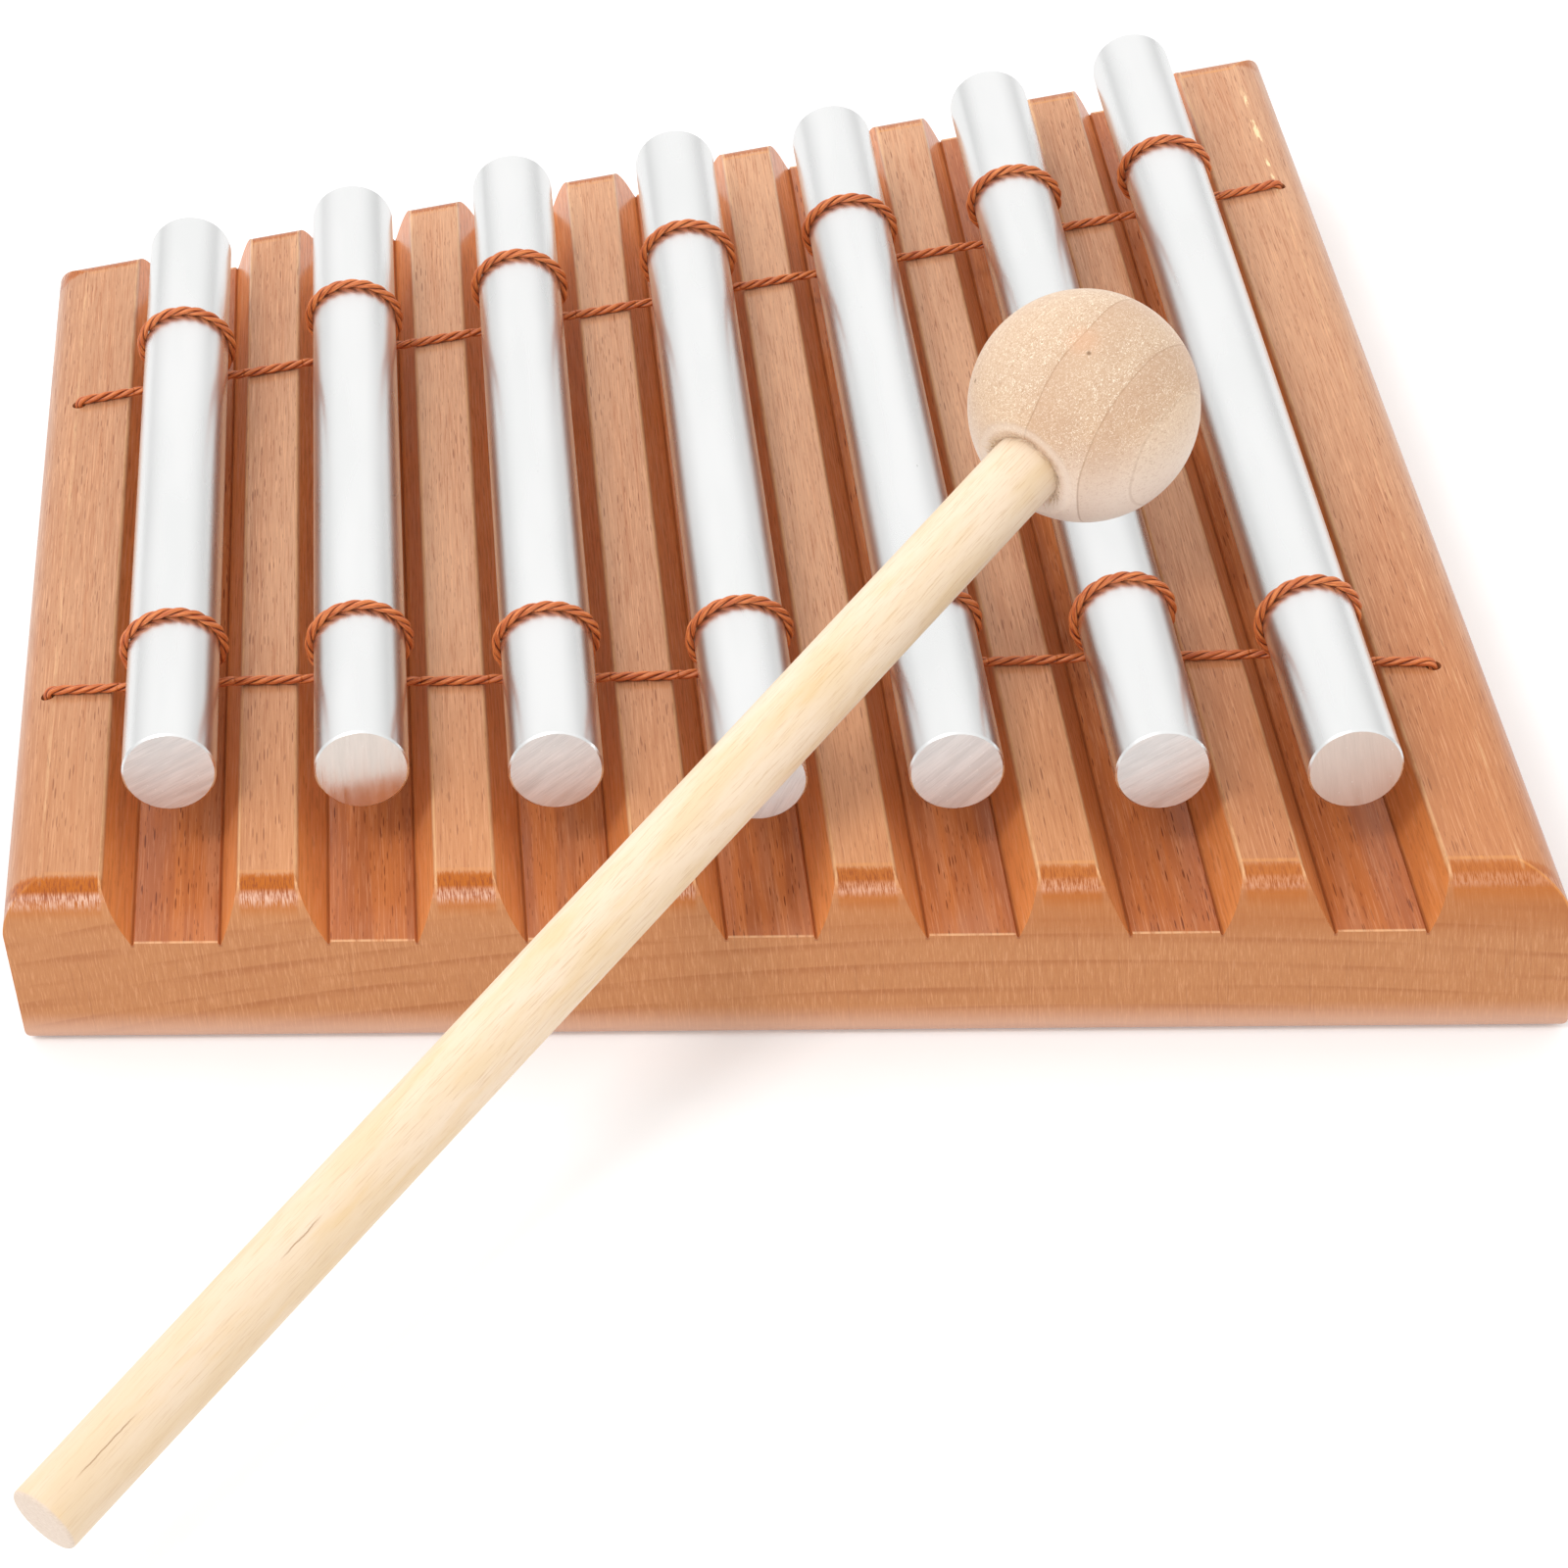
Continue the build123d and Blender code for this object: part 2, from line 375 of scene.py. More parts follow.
# Colours of the board, linear; near is near the player, and the colours named shaded_right are
# painted shade on the board's right part
WOOD = {
    "light": (0.624, 0.336, 0.190, 1), "light_near": (0.612, 0.280, 0.122, 1),
    "light_shaded_right": (0.525, 0.210, 0.082, 1), "dark": (0.534, 0.262, 0.138, 1),
    "dark_near": (0.515, 0.213, 0.088, 1), "dark_shaded_right": (0.452, 0.162, 0.061, 1),
    "left_end": (0.440, 0.200, 0.096, 1), "end_grain": (0.490, 0.209, 0.084, 1),
    "floor": (0.510, 0.164, 0.050, 1), "floor_dark": (0.375, 0.108, 0.036, 1),
    "floor_grey": (0.500, 0.220, 0.115, 1), "floor_shaded_right": (0.420, 0.110, 0.024, 1),
    "wall": (0.765, 0.262, 0.070, 1), "wall_shaded_right": (0.670, 0.228, 0.062, 1),
    "ring": (0.340, 0.108, 0.036, 1), "streak": (0.470, 0.172, 0.068, 1),
    "silk_dark": (0.380, 0.126, 0.048, 1), "silk_pale": (0.800, 0.420, 0.225, 1),
    "fleck": (0.170, 0.040, 0.014, 1), "painted_shade": (0.400, 0.122, 0.028, 1),
    "round_over": (0.447, 0.114, 0.006, 1), "scored": (0.270, 0.058, 0.012, 1),
    "highlight_tone": (0.740, 0.430, 0.290, 1), "highlight_tone_left": (0.800, 0.560, 0.440, 1),
    "crest": (0.700, 0.300, 0.090, 1), "foot": (0.650, 0.410, 0.310, 1),
    "worn": (0.900, 0.560, 0.300, 1), "side_line": (0.930, 0.620, 0.330, 1),
    "torn": (0.980, 0.740, 0.420, 1), "kerf": (0.240, 0.060, 0.022, 1),
    "bruise": (0.120, 0.035, 0.016, 1)}
PITH = (41.0, 580.0)          # the tree's middle: its X, and its depth under the board
RING_SPACING = 3.4
BRUISE = (96.1, -100.9, 18.0)
TORN_EDGE = 78.0              # Y of the torn wear on the right edge


def board_wood():
    """Lacquered beech-like hardwood, flat-sawn, with its grain along the rods."""
    s = Shader("board_wood")
    place = s.place()
    x, y, z = s.split(place)
    face_x, face_y, face_z = s.split(s.normal())
    end = s.ramp(s.absolute(face_y), 0.30, 0.80)
    level = s.ramp(face_z, 0.72, 0.96)

    # distance from the nearest groove's middle, and from the skewed ends and the sides
    turn = s.math("DIVIDE", s.sub(x, groove_x(0)), GROOVE_PITCH)
    nearest = s.math("MINIMUM", s.math("MAXIMUM", s.math("ROUND", turn), 0.0),
                     float(rod_count - 1))
    across = s.absolute(s.mul(s.sub(turn, nearest), GROOVE_PITCH))
    slope = (BOARD_DEPTH_RIGHT - BOARD_DEPTH_LEFT) / 2 / (2 * half_width)
    reach = s.add(s.mul(x, slope), (BOARD_DEPTH_RIGHT + BOARD_DEPTH_LEFT) / 4)
    from_end = s.sub(reach, s.absolute(y))
    from_front = s.add(reach, y)
    from_side = s.sub(half_width, s.absolute(x))
    below_top = s.sub(board_top, z)
    in_groove = s.mul(s.ramp(across, GROOVE_TOP_WIDTH / 2 + 0.3, GROOVE_TOP_WIDTH / 2 - 0.3),
                      s.ramp(below_top, 0.15, 1.0))
    floor_mask = s.mul(s.ramp(below_top, GROOVE_DEPTH - 0.8, GROOVE_DEPTH - 0.3), level)
    wall = s.mul(s.mul(in_groove, s.invert(level)), s.invert(end))

    # growth rings about a pith far below the board
    wander = s.noise(s.stretch(place, 60, 240, 60), detail=2)
    sway = s.mul(s.sub(wander, 0.5), 9.0)
    radius = s.length(s.join(s.add(s.sub(x, PITH[0]), sway), 0.0, s.add(z, PITH[1])))
    jitter = s.noise(s.join(s.mul(radius, 0.16), s.mul(y, 0.004), s.mul(x, 0.006)), detail=2)
    phase = s.add(s.math("DIVIDE", radius, RING_SPACING), s.mul(jitter, 1.6))
    share = s.math("FRACT", phase)
    ring = s.mul(s.ramp(share, 0.52, 0.86), s.ramp(share, 1.0, 0.90))
    ring_fade = s.ramp(s.noise(s.stretch(place, 30, 120, 2.2), detail=2), 0.36, 0.66)
    ring = s.mul(ring, s.line(ring_fade, 0, 1, 0.12, 1.0))

    # broad tone, silky streaks and fine pores
    tone = s.noise(s.stretch(place, 13, 150, 16), detail=2)
    streak = s.noise(s.stretch(place, 1.5, 52, 9), detail=4, roughness=0.6)
    silk = s.noise(s.stretch(place, 0.18, 8, 2.4), detail=3, roughness=0.65)
    pore = s.noise(s.stretch(place, 0.11, 1.6, 0.11), detail=2)

    # dark ray flecks: short slots along the grain, long through the thickness
    bent = s.offset(place, s.join(s.mul(s.sub(wander, 0.5), 3.0), 0.0, 0.0))
    near, chance = s.cells(s.stretch(bent, 0.42, 5.6, 17))
    size = s.line(chance, 0, 1, 0.06, 0.24)
    fleck = s.ramp(near, s.add(size, 0.07), s.sub(size, 0.03))
    near_2, chance_2 = s.cells(s.stretch(s.offset(bent, (7.7, 31.0, 5.0)), 0.27, 3.0, 11))
    size_2 = s.line(chance_2, 0, 1, 0.0, 0.20)
    fleck_2 = s.ramp(near_2, s.add(size_2, 0.08), s.sub(size_2, 0.04))
    patch = s.ramp(s.noise(s.stretch(place, 9, 34, 20), detail=1), 0.36, 0.62)
    fleck = s.mul(fleck, s.line(patch, 0, 1, 0.35, 1.0))
    flecks = s.math("MAXIMUM", fleck, s.mul(fleck_2, 0.70))
    flecks_seen = s.mul(s.mul(flecks, s.line(end, 0, 1, 1.0, 0.30)),
                        s.line(floor_mask, 0, 1, 0.56, 0.95))
    flecks_seen = s.mul(flecks_seen, s.line(wall, 0, 1, 1.0, 0.45))
    side = s.ramp(s.absolute(face_x), 0.5, 0.9)
    flecks_seen = s.mul(flecks_seen, s.line(s.mul(side, s.invert(in_groove)), 0, 1, 1.0, 0.40))

    # colour
    near_player = s.ramp(from_front, 70, 8)
    # painted shade: the right part of the board, towards the player, darker
    painted_shade_right = s.mul(s.ramp(x, -10, 90), s.ramp(from_front, 110, 20))
    light_top = s.mix(near_player, WOOD["light"], WOOD["light_near"])
    light_top = s.mix(painted_shade_right, light_top, WOOD["light_shaded_right"])
    dark_top = s.mix(near_player, WOOD["dark"], WOOD["dark_near"])
    dark_top = s.mix(painted_shade_right, dark_top, WOOD["dark_shaded_right"])
    top = s.mix(s.ramp(tone, 0.34, 0.68), light_top, dark_top)
    to_left = s.mul(s.ramp(x, -50, -88), s.invert(end))
    top = s.mix(s.mul(to_left, 0.55), top, WOOD["left_end"])
    colour = s.mix(end, top, WOOD["end_grain"])
    floor = s.mix(s.ramp(streak, 0.38, 0.62), WOOD["floor"], WOOD["floor_dark"])
    grey = s.ramp(s.noise(s.stretch(place, 3.4, 40, 9), detail=2), 0.50, 0.72)
    floor = s.mix(s.mul(grey, 0.50), floor, WOOD["floor_grey"])
    floor = s.mix(s.mul(painted_shade_right, 0.35), floor, WOOD["floor_shaded_right"])
    colour = s.mix(floor_mask, colour, floor)
    wall_tone = s.mix(painted_shade_right, WOOD["wall"], WOOD["wall_shaded_right"])
    colour = s.tint(colour, wall, 0.90, wall_tone)
    colour = s.tint(colour, ring, s.line(end, 0, 1, 0.12, 0.48), WOOD["ring"])
    colour = s.tint(colour, s.ramp(streak, 0.50, 0.70), s.line(end, 0, 1, 0.34, 0.06),
                    WOOD["streak"])
    calm = s.math("MAXIMUM", s.mul(near_player, 0.30), s.mul(floor_mask, 0.45))
    lively = s.invert(s.math("MAXIMUM", calm, s.mul(end, 0.40)))
    dark_silk = s.mul(s.mul(s.ramp(silk, 0.52, 0.66), 0.52), lively)
    light_silk = s.mul(s.mul(s.ramp(silk, 0.48, 0.34), 0.42), lively)
    colour = s.mix(dark_silk, colour, WOOD["silk_dark"])
    colour = s.mix(light_silk, colour, WOOD["silk_pale"])
    colour = s.mix(flecks_seen, colour, WOOD["fleck"])

    # the sanded round-over: deep orange under its upper edge, painted shade on its right part,
    # dark sanding marks, and pale dashes that are a painted highlight
    dash = s.noise(s.stretch(place, 0.16, 1.5, 1.5), detail=3, roughness=0.6)
    ragged = s.add(from_end, s.mul(s.sub(dash, 0.5), 2.4))
    over = s.mul(s.ramp(ragged, TOP_ROUND + 0.2, TOP_ROUND - 0.8), s.ramp(below_top, 3.6, 0.8))
    over = s.mul(over, s.invert(in_groove))
    # painted shade over the right part of the sawn end
    painted_shade = s.mul(s.mul(s.ramp(x, -30, 50), end), s.ramp(below_top, 9.0, 4.5))
    colour = s.tint(colour, painted_shade, 0.48, WOOD["painted_shade"])
    colour = s.tint(colour, over, s.line(x, -20, 80, 0.95, 0.66), WOOD["round_over"])
    # the sanding zone fades to the right, as the painted highlight does
    sanded = s.mul(s.mul(s.invert(in_groove), s.ramp(below_top, 4.5, 3.0)),
                   s.ramp(x, 110, -30, 0.45, 1.0))
    scored = s.mul(s.band(from_end, 0.60 * TOP_ROUND, 0.16 * TOP_ROUND, 0.20 * TOP_ROUND), sanded)
    colour = s.tint(colour, s.mul(scored, s.ramp(dash, 0.54, 0.38)), 0.84, WOOD["scored"])
    # painted highlight: pale dashes in the band where the lamp's highlight falls, paler on the
    # left
    highlight_at = s.line(x, -90, 90, 0.36 * TOP_ROUND, 0.50 * TOP_ROUND)
    painted_highlight = s.mul(s.band(s.sub(from_end, highlight_at), 0.0, 0.05 * TOP_ROUND, 0.15 * TOP_ROUND),
                    sanded)
    highlight_tone = s.mix(s.ramp(x, 40, -60), WOOD["highlight_tone"], WOOD["highlight_tone_left"])
    colour = s.tint(colour, s.mul(painted_highlight, s.ramp(dash, 0.38, 0.64)), 0.62, highlight_tone)
    scuff = s.noise(s.stretch(place, 1.0, 7.0, 1.0), detail=4, roughness=0.7)
    crest = s.mul(s.band(from_end, TOP_ROUND + 0.30, 0.15, 0.35), s.ramp(from_side, 5.2, 5.8))
    miter = s.mul(s.band(s.sub(from_end, from_side), 0.0, 0.10, 0.35),
                  s.ramp(from_end, TOP_ROUND + 0.2, TOP_ROUND - 0.3))
    crest = s.mul(s.mul(s.math("MAXIMUM", crest, miter), s.invert(in_groove)),
                  s.ramp(below_top, 6.5, 5.0))
    crest = s.mul(s.mul(crest, s.line(scuff, 0.3, 0.7, 0.10, 0.80)), s.ramp(x, -60, 70, 0.4, 1.0))
    colour = s.mix(crest, colour, WOOD["crest"])
    foot = s.ramp(z, 5.5, 1.0)
    colour = s.tint(colour, foot, 0.75, WOOD["foot"])

    # pale lines on the edges (at the groove lips and mouths partly wear, partly painted
    # highlight), a torn stretch, painted shade in the kerfs and one small bruise
    # lip and mouth lines: wear, and partly painted highlight where light catches the eased edges
    lip = s.mul(s.band(across, GROOVE_TOP_WIDTH / 2 - 0.02, 0.08, 0.24),
                s.ramp(below_top, 1.1, 0.2))
    mouth = s.mul(s.band(from_end, 0.2, 0.05, 0.35), floor_mask)
    worn = s.math("MAXIMUM", lip, mouth)
    worn = s.mul(worn, s.ramp(scuff, 0.30, 0.56, 0.30, 1.0))
    colour = s.tint(colour, worn, 0.60, WOOD["worn"])
    side_line = s.mul(s.band(from_side, TOP_ROUND - 0.3, 0.05, 0.30), s.ramp(below_top, 0.4, 0.1))
    side_line = s.mul(side_line, s.ramp(scuff, 0.42, 0.66, 0.15, 1.0))
    colour = s.tint(colour, side_line, 0.22, WOOD["side_line"])
    torn = s.mul(s.band(from_side, TOP_ROUND - 0.2, 0.15, 0.45), s.ramp(scuff, 0.50, 0.58))
    torn = s.mul(torn, s.mul(s.band(y, TORN_EDGE, 12.0, 6.0), s.ramp(x, 0.0, 1.0)))
    colour = s.tint(colour, torn, 0.85, WOOD["torn"])
    # painted shade: dark lines where the groove walls meet the floor
    kerf = s.mul(s.band(across, (GROOVE_FLOOR_WIDTH - KERF_WIDTH) / 2, 0.12, 0.20),
                 s.band(below_top, GROOVE_DEPTH + 0.1, 0.35, 0.25))
    colour = s.tint(colour, kerf, 0.50, WOOD["kerf"])
    bruise = s.ramp(s.distance(place, BRUISE), 1.3, 0.3)
    colour = s.tint(colour, bruise, 0.8, WOOD["bruise"])

    # lacquer: smooth on the flats, streaky over the sawn end grain
    relief = s.add(s.mul(silk, 0.6), s.mul(pore, 0.4))
    fine = s.bump(relief, 0.012, 0.4)
    wavy = s.bump(s.noise(s.stretch(place, 5, 60, 14), detail=1), 0.12, 0.25, under=fine)
    streaky = s.bump(dash, 0.10, end, under=wavy)
    roughness = s.line(silk, 0.3, 0.7, 0.42, 0.56)
    roughness = s.add(roughness, s.mul(flecks, 0.12))
    return s.finish(Base_Color=colour, Roughness=roughness, Normal=wavy, IOR=1.42,
                    Specular_IOR_Level=0.05, Coat_Weight=0.6, Coat_Roughness=0.18, Coat_IOR=1.38,
                    Coat_Normal=streaky)


def rod_metal():
    """Satin drawn aluminium."""
    s = Shader("rod_metal")
    place = s.place()
    drawn = s.noise(s.stretch(place, 0.13, 90, 0.13), detail=3, roughness=0.6)
    cloud = s.noise(s.stretch(place, 6, 38, 6), detail=2)
    near, chance = s.cells(s.stretch(place, 3.4, 9.0, 3.4))
    nick = s.mul(s.ramp(near, 0.040, 0.022), s.ramp(chance, 0.82, 0.84))
    colour = s.mix(s.ramp(cloud, 0.3, 0.7), (0.80, 0.805, 0.80, 1), (0.845, 0.845, 0.84, 1))
    colour = s.tint(colour, nick, 0.5, (0.45, 0.45, 0.44, 1))
    fine = s.bump(drawn, 0.004, 0.5)
    dents = s.bump(s.invert(nick), 0.01, 0.4, under=fine)
    roughness = s.line(cloud, 0.3, 0.7, 0.25, 0.31)
    return s.finish(Base_Color=colour, Metallic=1.0, Roughness=roughness, Normal=dents)


# Sawn faces of each rod: the marks' slope in degrees, how rough they are, and how warm the metal
ROD_ENDS = ((24, 0.36, 0.0), (86, 0.13, 0.45), (35, 0.34, 0.0), (60, 0.36, 0.0), (40, 0.38, 0.0),
            (28, 0.30, 0.0), (96, 0.40, 0.60))


def rod_end(number):
    """Sawn face of one rod."""
    angle, polish, warmth = ROD_ENDS[number - 1]
    s = Shader(f"rod_end_{number}")
    place = s.place()
    x, _, z = s.split(place)
    turn = math.radians(angle)
    along = s.add(s.mul(x, math.cos(turn)), s.mul(z, math.sin(turn)))
    across = s.sub(s.mul(z, math.cos(turn)), s.mul(x, math.sin(turn)))
    marks = s.noise(s.join(s.mul(along, 0.22), number * 7.3, s.mul(across, 5.5)), detail=4,
                    roughness=0.7)
    broad = s.noise(s.join(s.mul(along, 0.12), number * 3.1, s.mul(across, 0.9)), detail=2)
    near, chance = s.cells(s.stretch(place, 0.8, 0.8, 0.8))
    speck = s.mul(s.ramp(near, 0.14, 0.07), s.ramp(chance, 0.70, 0.72))
    colour = s.mix(s.ramp(broad, 0.3, 0.7), (0.72, 0.71, 0.70, 1), (0.84, 0.83, 0.82, 1))
    colour = s.tint(colour, s.ramp(marks, 0.52, 0.68), 0.45, (0.60, 0.58, 0.57, 1))
    colour = s.tint(colour, s.ramp(marks, 0.46, 0.34), 0.40, (0.95, 0.94, 0.93, 1))
    colour = s.mix(warmth, colour, (0.740, 0.600, 0.500, 1))
    colour = s.tint(colour, speck, 0.6, (1.0, 1.0, 1.0, 1))
    relief = s.bump(marks, 0.02, 0.6)
    wave = s.bump(broad, 0.05, 0.4, under=relief)
    roughness = s.line(broad, 0.3, 0.7, polish, polish + 0.10)
    return s.finish(Base_Color=colour, Metallic=1.0, Roughness=roughness, Normal=wave)


def waxed_cord():
    """Rust-coloured waxed polyester, with painted shade between its strands."""
    s = Shader("waxed_cord")
    fibre = s.attribute("fibre", "Vector")
    depth = s.attribute("depth", "Fac")
    lines = s.noise(s.stretch(fibre, 1, 1, 1), detail=3, roughness=0.65)
    clumps = s.noise(s.stretch(fibre, 0.45, 3, 3), detail=2)
    colour = s.mix(s.ramp(lines, 0.34, 0.66), srgb(180, 82, 36), srgb(232, 140, 76))
    colour = s.tint(colour, s.ramp(clumps, 0.45, 0.7), 0.4, srgb(164, 66, 24))
    # painted shade: darker where a point lies deep in the cord, between its strands
    colour = s.mix(s.ramp(depth, 0.86, 0.54), colour, srgb(96, 32, 11))
    relief = s.bump(lines, 0.05, 0.6)
    return s.finish(Base_Color=colour, Roughness=0.46, Normal=relief, IOR=1.46,
                    Coat_Weight=0.15, Coat_Roughness=0.35)


def mallet_local(s):
    """The point in the mallet's own axes, in millimetres from the ball's centre."""
    made = s.node("ShaderNodeMapping", {"Vector": s.place(), "Location": ball_centre,
                                        "Rotation": mallet_turn}, vector_type="TEXTURE")
    return made.outputs[0]


# Growth-ring faces across the ball: where each lies, and how plainly it shows
RING_FACES = ((-12.4, 0.25), (-0.76, 1.0), (8.0, 0.9), (13.2, 0.45))
RING_LEAN = 0.257


def ball_wood():
    """Turned pale hardwood, sanded to a short nap, its grain along the handle."""
    s = Shader("ball_wood")
    local = mallet_local(s)
    x, y, z = s.split(local)
    bend = s.noise(s.stretch(local, 16, 12, 12), detail=1)
    w = s.add(s.sub(y, s.mul(z, RING_LEAN)), s.mul(s.sub(bend, 0.5), 2.0))
    low = s.mul(s.sub(ball_centre[2], s.split(s.place())[2]), 1 / ball_radius)
    late, edge = 0.0, 0.0
    for face, plain in RING_FACES:
        step = s.mul(s.ramp(w, face - 0.10, face + 0.10), s.ramp(w, face + 7.0, face + 0.2))
        late = s.math("MAXIMUM", late, s.mul(step, plain))
        edge = s.math("MAXIMUM", edge, s.mul(s.band(w, face, 0.03, 0.13), plain))
    nap = s.noise(s.stretch(local, 0.62, 0.42, 0.42), detail=4, roughness=0.75, distortion=0.9)
    hairs = s.noise(s.stretch(local, 0.44, 0.30, 0.30), detail=2, roughness=0.6, distortion=2.2)
    cloud = s.noise(s.stretch(local, 14, 5, 5), detail=2)
    colour = s.mix(s.ramp(cloud, 0.3, 0.7), srgb(213, 179, 147), srgb(201, 165, 135))
    pale = s.ramp(w, -0.8, -4.0)
    colour = s.tint(colour, pale, 0.35, srgb(222, 194, 164))
    beyond = s.ramp(w, 12.6, 13.4)
    colour = s.tint(colour, beyond, 0.6, srgb(232, 208, 180))
    # painted light: paler towards the bottom of the ball
    painted_light_below = s.ramp(low, -0.40, 0.50)
    colour = s.tint(colour, painted_light_below, 0.88, srgb(255, 240, 226))
    # painted shade: darker towards the top of the ball
    colour = s.tint(colour, s.ramp(low, -0.10, -0.90), 0.45, srgb(202, 176, 150))
    fuzz = s.line(painted_light_below, 0, 1, 1.0, 0.45)
    colour = s.tint(colour, s.mul(s.ramp(nap, 0.50, 0.64), 0.50), fuzz, srgb(180, 138, 106))
    tufts = s.mul(s.mul(s.ramp(hairs, 0.55, 0.63), 0.80), fuzz)
    colour = s.mix(tufts, colour, srgb(252, 238, 216))
    late = s.mul(late, s.line(painted_light_below, 0, 1, 1.0, 0.45))
    colour = s.tint(colour, late, 0.42, srgb(196, 158, 128))
    colour = s.tint(colour, edge, 0.50, srgb(168, 128, 96))
    # pale ring round the socket: pale fuzz, and painted light over the shade in the joint
    from_stick = s.length(s.join(0.0, y, z))
    collar_fuzz_and_light = s.mul(s.band(from_stick, 6.6, 0.2, 0.9), s.ramp(x, 9.0, 11.0))
    collar_fuzz_and_light = s.mul(collar_fuzz_and_light, s.line(nap, 0.3, 0.7, 0.45, 1.0))
    colour = s.tint(colour, collar_fuzz_and_light, 0.45, srgb(255, 244, 232))
    blush = s.ramp(s.distance(local, (2.4, 3.7, 14.5)), 3.2, 0.6)
    colour = s.tint(colour, blush, 0.30, srgb(226, 170, 132))
    for spot in ((0.2316, 0.3472, 0.9087), (0.5679, -0.6669, 0.4824)):
        point = tuple(ball_radius * share for share in spot)
        dark = s.ramp(s.distance(local, point), 0.42, 0.14)
        colour = s.tint(colour, dark, 0.75, srgb(120, 88, 58))
    relief = s.bump(s.add(s.mul(nap, 0.5), s.mul(hairs, 0.5)), 0.06, 0.5)
    return s.finish(Base_Color=colour, Roughness=0.70, Normal=relief, IOR=1.42,
                    Sheen_Weight=0.35, Sheen_Roughness=0.35, Sheen_Tint=(1.0, 0.93, 0.88, 1.0))


# Hairline cracks of the handle: start and end along it, and angle round it
CRACKS = ((184.4, 195.6, 59.6), (153.4, 162.2, 59.2))


def handle_wood():
    """Pale softwood dowel with faint streaks and two hairline cracks."""
    s = Shader("handle_wood")
    local = mallet_local(s)
    x, y, z = s.split(local)
    blotch = s.noise(s.stretch(local, 17, 3.2, 3.2), detail=3, roughness=0.55)
    streak = s.noise(s.stretch(local, 46, 0.9, 0.9), detail=4, roughness=0.6)
    silk = s.noise(s.stretch(local, 4.2, 0.16, 0.16), detail=3, roughness=0.6)
    colour = s.mix(s.ramp(blotch, 0.36, 0.68), srgb(234, 212, 186), srgb(228, 202, 166))
    colour = s.tint(colour, s.ramp(streak, 0.54, 0.78), 0.30, srgb(216, 178, 130))
    colour = s.tint(colour, s.ramp(silk, 0.52, 0.68), 0.44, srgb(200, 160, 116))
    # painted shade: darker towards the free end of the handle
    far = s.ramp(x, HANDLE_REACH - 90, HANDLE_REACH)
    colour = s.tint(colour, far, 0.45, srgb(214, 190, 160))
    end = s.ramp(x, HANDLE_REACH - 0.5, HANDLE_REACH - 0.15)
    sawn = s.noise(s.stretch(local, 1, 0.5, 0.16), detail=4, roughness=0.7)
    face = s.mix(s.ramp(sawn, 0.35, 0.65), srgb(218, 200, 184), srgb(206, 186, 168))
    colour = s.mix(end, colour, face)
    blemish = s.ramp(s.noise(s.stretch(local, 13, 2.6, 2.6), detail=3), 0.56, 0.72)
    colour = s.tint(colour, s.mul(blemish, s.invert(end)), 0.35, srgb(224, 188, 132))
    crack = 0.0
    for start, stop, angle in CRACKS:
        turn = math.radians(angle)
        waver = s.mul(s.sub(s.noise(s.stretch(local, 2.2, 50, 50), detail=2), 0.5), 0.5)
        side = s.sub(s.mul(z, math.cos(turn)), s.mul(y, math.sin(turn)))
        facing = s.add(s.mul(y, math.cos(turn)), s.mul(z, math.sin(turn)))
        thin = s.band(s.add(side, waver), 0.0, 0.02, 0.09)
        reach = s.mul(s.ramp(x, start, start + 3), s.ramp(x, stop, stop - 3))
        here = s.mul(s.mul(thin, reach), s.ramp(facing, 2.0, 2.5))
        crack = s.math("MAXIMUM", crack, here)
    colour = s.tint(colour, crack, 0.6, srgb(160, 112, 70))
    relief = s.bump(s.add(s.mul(silk, 0.5), s.mul(streak, 0.5)), 0.03, 0.5)
    relief = s.bump(s.invert(crack), 0.08, 0.8, under=relief)
    return s.finish(Base_Color=colour, Roughness=0.64, Normal=relief, IOR=1.42,
                    Sheen_Weight=0.22, Sheen_Roughness=0.35, Sheen_Tint=(1.0, 0.94, 0.90, 1.0))


# -------------------------------------------------------------------------------- cords

def cord_y(side, x):
    left, right = middle(f"{side}_left_knot"), middle(f"{side}_right_knot")
    return left.y + (right.y - left.y) * (x - left.x) / (right.x - left.x)


def rod_section(number):
    """Middle and radius of one rod."""
    rod = middle(f"chime_rod_{number}")
    return rod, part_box(f"chime_rod_{number}")[1].z / MM - rod.z


